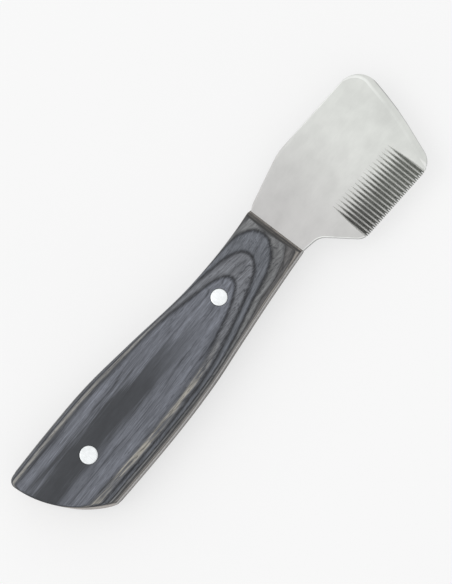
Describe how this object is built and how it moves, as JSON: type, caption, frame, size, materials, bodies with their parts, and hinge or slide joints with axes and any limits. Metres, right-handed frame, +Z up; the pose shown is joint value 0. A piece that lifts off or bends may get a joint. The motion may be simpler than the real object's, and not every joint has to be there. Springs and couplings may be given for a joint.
{
  "type": "stripping knife",
  "caption": "Coat and mane stripping knife: flat steel blade with a finely grooved, toothed edge, and a full-tang handle of domed laminated-wood scales held by flush pins.",
  "frame": {"origin": "under the middle of the knife's box, on the plane that the knife lies on", "axes": "+X from the butt to the end of the blade, +Y from the teeth to the spine, +Z up through the front scale, square to the blade's faces"},
  "size_m": [0.165, 0.0402, 0.0158],
  "materials": {
    "blade_steel": "satin ground stainless steel, polished along the worked edges",
    "laminate": "resin-filled laminated veneers dyed grey and bluish grey with black glue lines, sanded and polished",
    "pin_metal": "ground flush with the scales, fine scratches"
  },
  "bodies": {
    "root": {"blade": "blade_steel", "front_scale": "laminate", "back_scale": "laminate", "rear_pin": "pin_metal", "front_pin": "pin_metal"}
  },
  "joints": []
}
